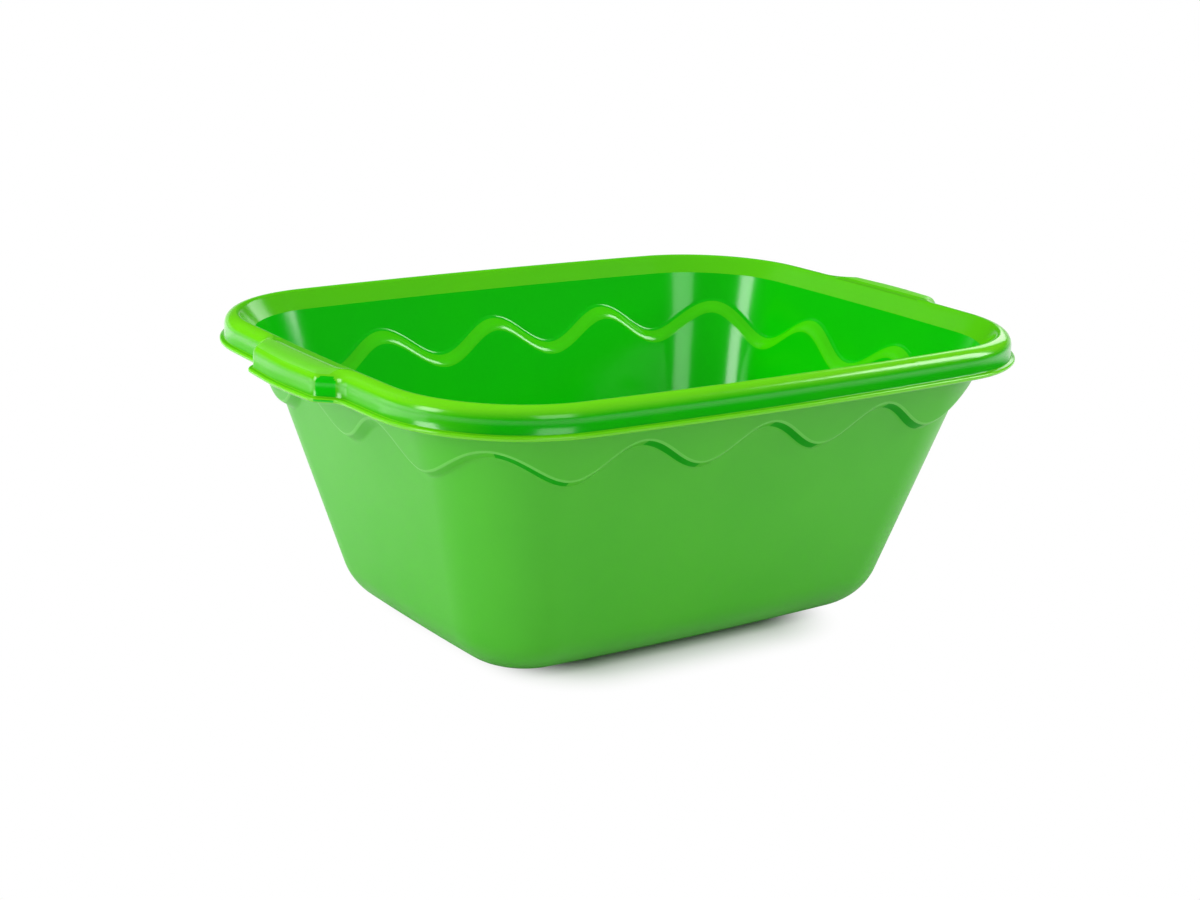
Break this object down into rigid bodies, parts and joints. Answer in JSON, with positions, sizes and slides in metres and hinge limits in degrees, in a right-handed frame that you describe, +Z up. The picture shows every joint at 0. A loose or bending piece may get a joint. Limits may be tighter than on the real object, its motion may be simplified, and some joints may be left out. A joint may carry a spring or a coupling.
{
  "type": "washing up bowl",
  "caption": "Rectangular moulded washing up bowl with tapered walls, a wavy step round the wall and a rolled rim that widens into a handle at each end.",
  "frame": {"origin": "on the table under the middle of the bowl", "axes": "+X along the length towards the right handle, +Y across the width towards the far side, +Z up"},
  "size_m": [0.3968, 0.3, 0.1552],
  "materials": {
    "wall": "satin moulded polypropylene, glossy on the inside",
    "rim": "gloss moulded polypropylene"
  },
  "bodies": {
    "root": {"base": "wall", "lower_wall": "wall", "wave_band": "wall", "near_rim": "rim", "far_rim": "rim", "left_handle": "rim", "right_handle": "rim"}
  },
  "joints": []
}
